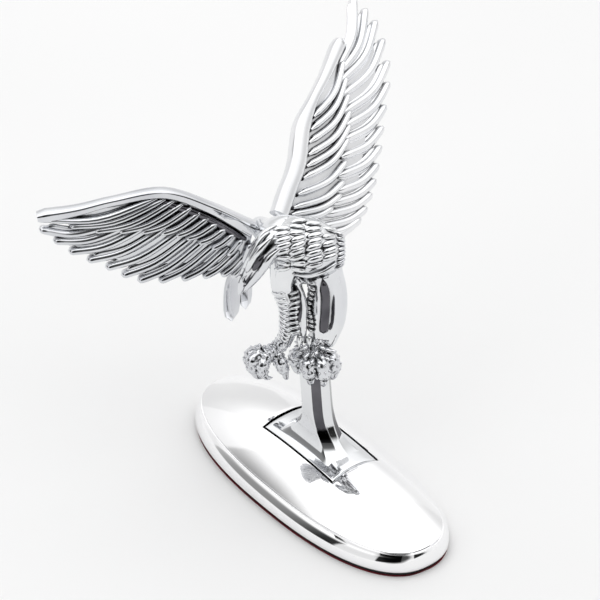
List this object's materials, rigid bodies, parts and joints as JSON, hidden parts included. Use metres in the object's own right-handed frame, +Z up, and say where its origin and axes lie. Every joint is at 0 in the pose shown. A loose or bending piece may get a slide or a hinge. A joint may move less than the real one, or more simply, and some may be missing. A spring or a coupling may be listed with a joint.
{
  "type": "hood ornament",
  "caption": "Chromed eagle with raised wings on a flared post, on a domed oval stick-on base; the sprung foot plate lets the figure tilt and return.",
  "frame": {"origin": "centre of the base's underside, on the surface that it stands on", "axes": "+Z up, away from that surface; +X the way the eagle faces, along the base's length; +Y to the eagle's left"},
  "size_m": [0.1211, 0.137, 0.1217],
  "materials": {
    "base_chrome": "bright polished chrome plate over a smooth shell",
    "figure_chrome": "bright chrome plate over a detailed casting, darker in the recesses",
    "black_plastic": "moulded, matt",
    "foam": "closed-cell foam",
    "liner_film": "thin dark red release film",
    "steel": "zinc plated",
    "bush_brass": "machined"
  },
  "bodies": {
    "base": {"base_shell": "base_chrome", "base_plate": "black_plastic", "base_plate_screws": "steel", "foam_tape": "foam", "release_liner": "liner_film", "pivot_bracket": "steel", "bracket_screws": "steel", "pivot_pin": "steel", "pin_clips": "steel", "front_spring": "steel", "rear_spring": "steel"},
    "figure": {"stand": "figure_chrome", "pivot_bush": "bush_brass", "stand_screw": "steel", "eagle_body": "figure_chrome", "right_wing": "figure_chrome", "left_wing": "figure_chrome", "right_wing_dowels": "steel", "left_wing_dowels": "steel", "tail": "figure_chrome", "tail_dowel": "steel"}
  },
  "joints": [
    {"name": "tilt", "type": "hinge", "parent": "base", "child": "figure", "pos_m": [0, 0, 0.0114], "axis": [0, 1, 0], "range_deg": [-20, 20], "stiffness_Nm_per_rad": 2, "springref_deg": 0.88, "deforming": ["front_spring", "rear_spring"]}
  ]
}
